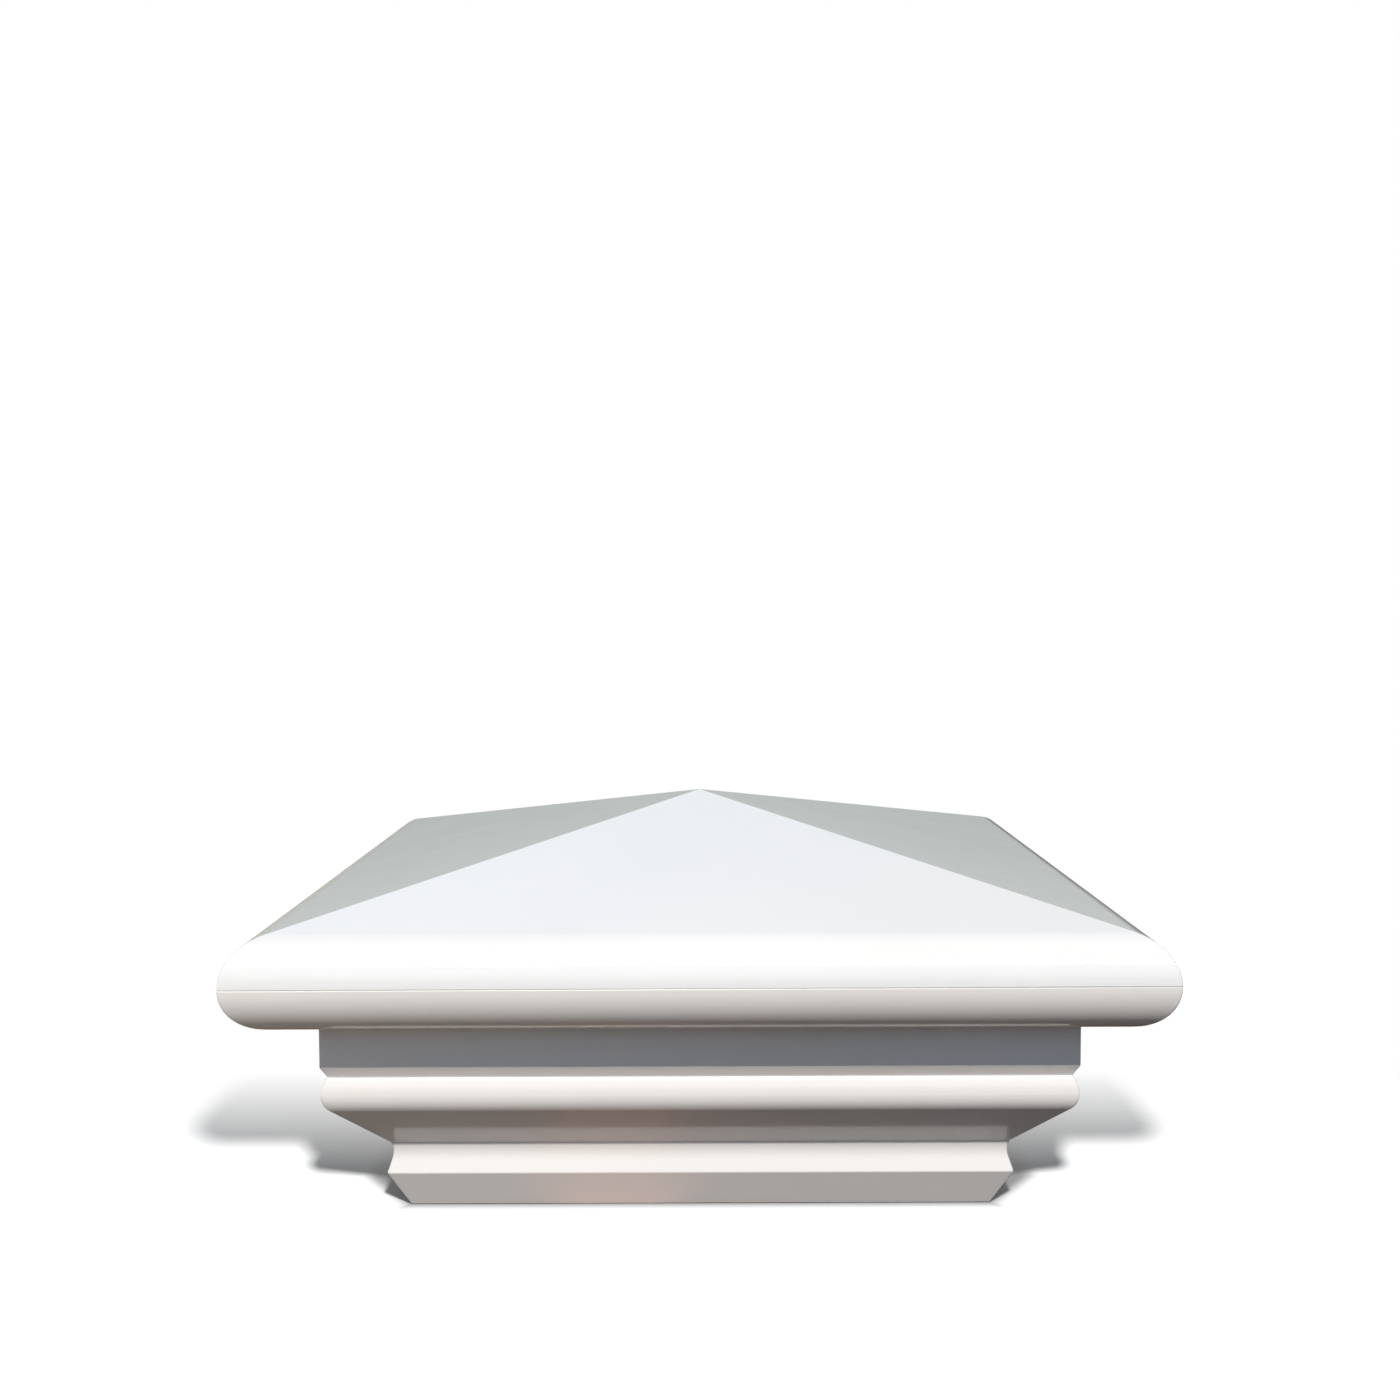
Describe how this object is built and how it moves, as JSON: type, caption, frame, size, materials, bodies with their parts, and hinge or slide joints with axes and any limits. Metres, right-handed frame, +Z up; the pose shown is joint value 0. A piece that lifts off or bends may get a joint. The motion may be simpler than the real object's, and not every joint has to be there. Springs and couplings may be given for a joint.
{
  "type": "post cap",
  "caption": "Square hollow post cap: low pyramid top with a thick bullnose rim over a moulded neck that slides down over the end of a square post.",
  "frame": {"origin": "centre of the foot's square opening, on the plane of the foot's lower lip", "axes": "+Z up along the post's axis, towards the tip of the pyramid; -Y is the side that the picture shows; X and Y run square to the sides"},
  "size_m": [0.2032, 0.2032, 0.0894],
  "materials": {
    "white_shell_upper": "moulded white vinyl, glossy, very slightly dimpled",
    "white_shell_lower": "moulded white vinyl, glossy, very slightly dimpled"
  },
  "bodies": {
    "root": {"pyramid_top": "white_shell_upper", "moulded_neck": "white_shell_lower"}
  },
  "joints": []
}
